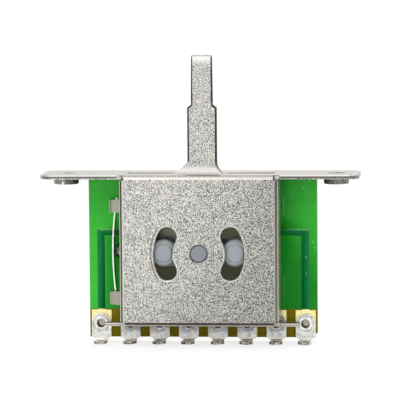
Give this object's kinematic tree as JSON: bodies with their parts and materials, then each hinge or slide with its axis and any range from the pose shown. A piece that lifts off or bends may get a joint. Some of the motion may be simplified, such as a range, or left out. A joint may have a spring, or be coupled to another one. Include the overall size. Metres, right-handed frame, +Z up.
{
  "type": "guitar pickup selector switch",
  "caption": "Lever selector switch for guitar pickups: folded steel frame, tilting flat lever, circuit board and a row of solder lugs.",
  "frame": {"origin": "on top of the mounting plate, midway between its two threaded holes", "axes": "+X along the mounting plate, +Y to the circuit board's side, +Z up out of the plate, along the upright lever"},
  "size_m": [0.0486, 0.0104, 0.0443],
  "materials": {
    "nickel_plate": "nickel plated, fine satin grain",
    "lever_steel": "nickel plated, semi bright",
    "nylon": "moulded, slightly glossy",
    "bronze": "bright strip",
    "spring_steel": "bright",
    "laminate": "woven glass laminate, cut edges",
    "solder_mask": "glossy lacquer",
    "gold_plate": "flash gold",
    "tin_plate": "tinned brass, semi bright",
    "ball_steel": "polished"
  },
  "bodies": {
    "frame": {"frame": "nickel_plate", "circuit_board": "laminate", "solder_mask_front": "solder_mask", "solder_mask_rear": "solder_mask", "contact_tracks": "gold_plate", "terminal_pads": "gold_plate", "terminal_rivets": "tin_plate", "detent_spring": "spring_steel", "terminal_1": "tin_plate", "terminal_2": "tin_plate", "terminal_3": "tin_plate", "terminal_4": "tin_plate", "terminal_5": "tin_plate", "terminal_6": "tin_plate", "terminal_7": "tin_plate", "terminal_8": "tin_plate"},
    "rocker": {"lever": "lever_steel", "contact_carrier": "nylon", "wiper_left": "bronze", "wiper_right": "bronze", "contact_spring_left": "spring_steel", "contact_spring_right": "spring_steel"},
    "detent_ball": {"detent_ball": "ball_steel"}
  },
  "joints": [
    {"name": "lever_tilt", "type": "hinge", "parent": "frame", "child": "rocker", "pos_m": [0, 0, -0.0119], "axis": [0, 1, 0], "range_deg": [-26, 26]},
    {"name": "detent_ball_slide", "type": "slide", "parent": "frame", "child": "detent_ball", "axis": [1, 0, 0], "range_m": [0, 0.0003], "stiffness_N_per_m": 300, "springref_m": 0.0015, "deforming": ["detent_spring"]}
  ]
}
